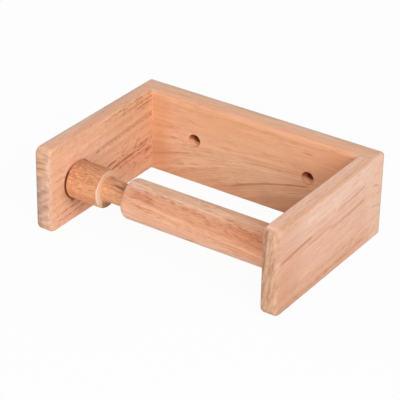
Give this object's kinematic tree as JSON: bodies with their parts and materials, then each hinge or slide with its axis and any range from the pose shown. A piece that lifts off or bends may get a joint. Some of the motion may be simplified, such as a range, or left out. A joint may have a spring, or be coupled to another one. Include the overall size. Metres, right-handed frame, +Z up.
{
  "type": "toilet roll holder",
  "caption": "Wall-mounted wooden toilet roll holder: a U-shaped frame with a sprung telescopic roller between its arms.",
  "frame": {"origin": "on the wall face of the back board, midway between the two wall screws", "axes": "+X across the arms, towards the arm that holds the roller's fixed pivot; +Y into the wall; +Z up"},
  "size_m": [0.167, 0.1155, 0.055],
  "materials": {
    "arm_wood": "sanded and oiled",
    "board_wood": "sanded and oiled",
    "roller_wood": "turned and oiled",
    "plunger_wood": "turned and oiled",
    "dowel_wood": "plain",
    "spring_steel": "drawn wire"
  },
  "bodies": {
    "frame": {"back_board": "board_wood", "left_arm": "arm_wood", "right_arm": "arm_wood", "left_upper_dowel": "dowel_wood", "left_lower_dowel": "dowel_wood", "right_upper_dowel": "dowel_wood", "right_lower_dowel": "dowel_wood"},
    "roller": {"roller": "roller_wood", "spring": "spring_steel"},
    "plunger": {"plunger": "plunger_wood"}
  },
  "joints": [
    {"name": "roller_spin", "type": "hinge", "parent": "frame", "child": "roller", "pos_m": [0, -0.0895, -0.003], "axis": [1, 0, 0], "continuous": true},
    {"name": "plunger_press", "type": "slide", "parent": "roller", "child": "plunger", "axis": [1, 0, 0], "range_m": [0, 0.012], "stiffness_N_per_m": 690, "springref_m": -0.01, "deforming": ["spring"]}
  ]
}
